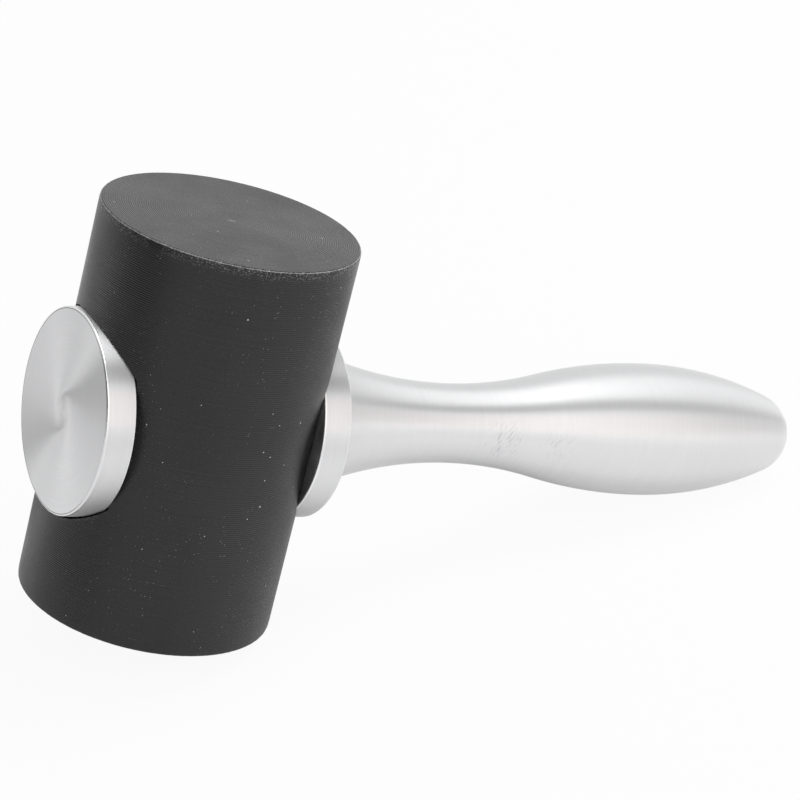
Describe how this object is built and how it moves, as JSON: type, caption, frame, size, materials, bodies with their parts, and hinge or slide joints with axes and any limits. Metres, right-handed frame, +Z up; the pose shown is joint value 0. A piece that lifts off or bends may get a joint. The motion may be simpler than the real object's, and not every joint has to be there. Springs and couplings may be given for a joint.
{
  "type": "soft face hammer",
  "caption": "Mallet with a black nylon cylinder head clamped between an end cap and a collar of turned aluminium, on a waisted aluminium handle, for striking without marking.",
  "frame": {"origin": "centre of the lower striking face", "axes": "+X along the handle towards its butt, +Z up the axis of the head, +Y across both"},
  "size_m": [0.1679, 0.05, 0.079],
  "materials": {
    "nylon": "black nylon as turned, with fine tool rings",
    "turned_disc": "fine turned, with circular tool marks",
    "satin_handle": "satin, sanded round the axis",
    "steel": "plain steel with cut threads"
  },
  "bodies": {
    "handle": {"handle": "satin_handle", "collar": "turned_disc", "tie_stud": "steel"},
    "head": {"head": "nylon"},
    "cap": {"end_cap": "turned_disc"}
  },
  "joints": [
    {"name": "head_slide", "type": "slide", "parent": "handle", "child": "head", "axis": [-1, 0, 0], "range_m": [0, 0.0105]},
    {"name": "cap_turn", "type": "hinge", "parent": "head", "child": "cap", "pos_m": [-0.0257, 0, 0.039], "axis": [-1, 0, 0], "range_deg": [0, 2520]}
  ],
  "couplings": [
    {"joint": "cap_turn", "follows": "head_slide", "rad_per_m": 4188.8}
  ]
}
